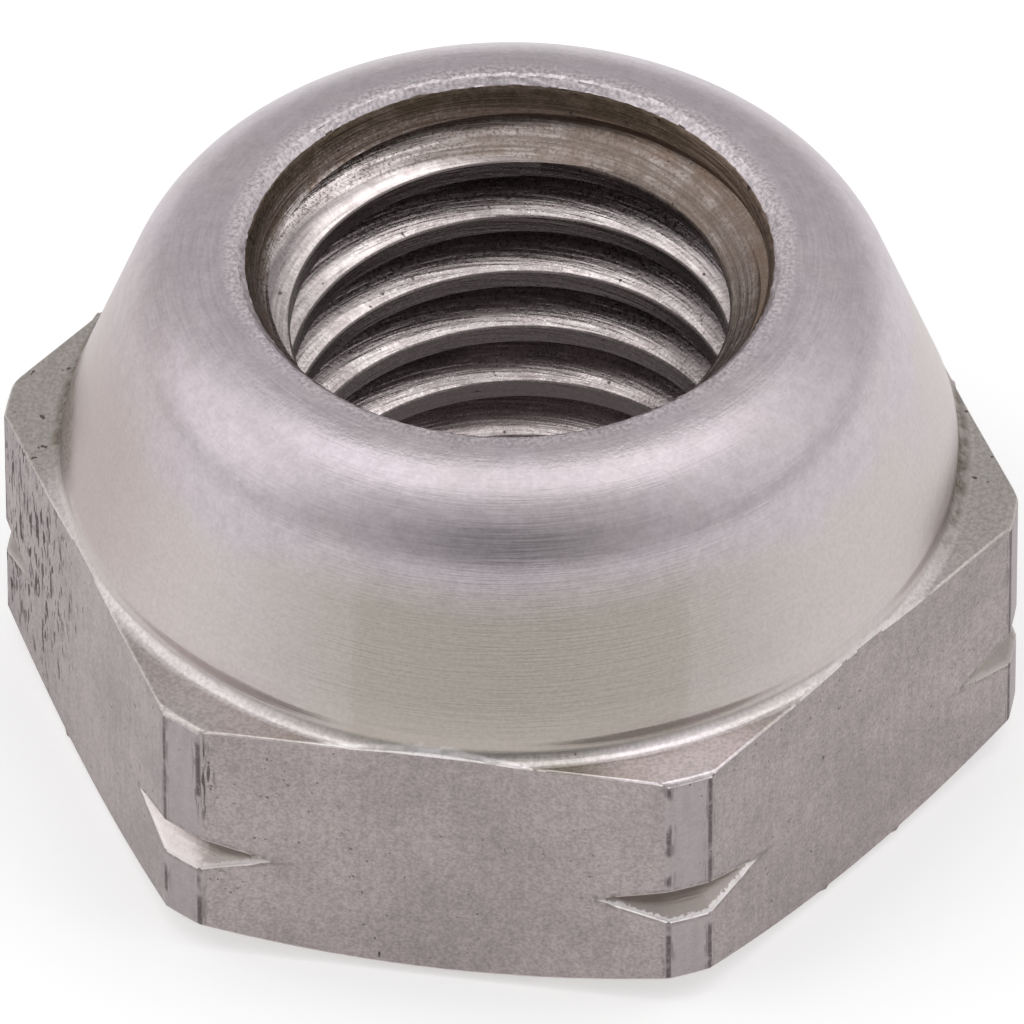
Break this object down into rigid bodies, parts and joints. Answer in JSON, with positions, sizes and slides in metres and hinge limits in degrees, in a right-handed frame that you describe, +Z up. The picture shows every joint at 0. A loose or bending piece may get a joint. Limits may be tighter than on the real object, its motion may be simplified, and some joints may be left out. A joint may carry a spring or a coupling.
{
  "type": "collared hex shaft nut",
  "caption": "Left-hand shaft nut: a hexagon with grooved, turned corners under a domed conical collar with a countersunk mouth.",
  "frame": {"origin": "centre of the bearing face, on the thread's axis", "axes": "+Z up the thread's axis towards the collar's mouth; two of the six corners on the X axis, two flats facing +Y and -Y"},
  "size_m": [0.0126, 0.0112, 0.0069],
  "materials": {
    "steel": "satin, turned on the collar and drawn on the flats, with small pits and brown stain in the mouth"
  },
  "bodies": {
    "root": {"shaft_nut": "steel"}
  },
  "joints": []
}
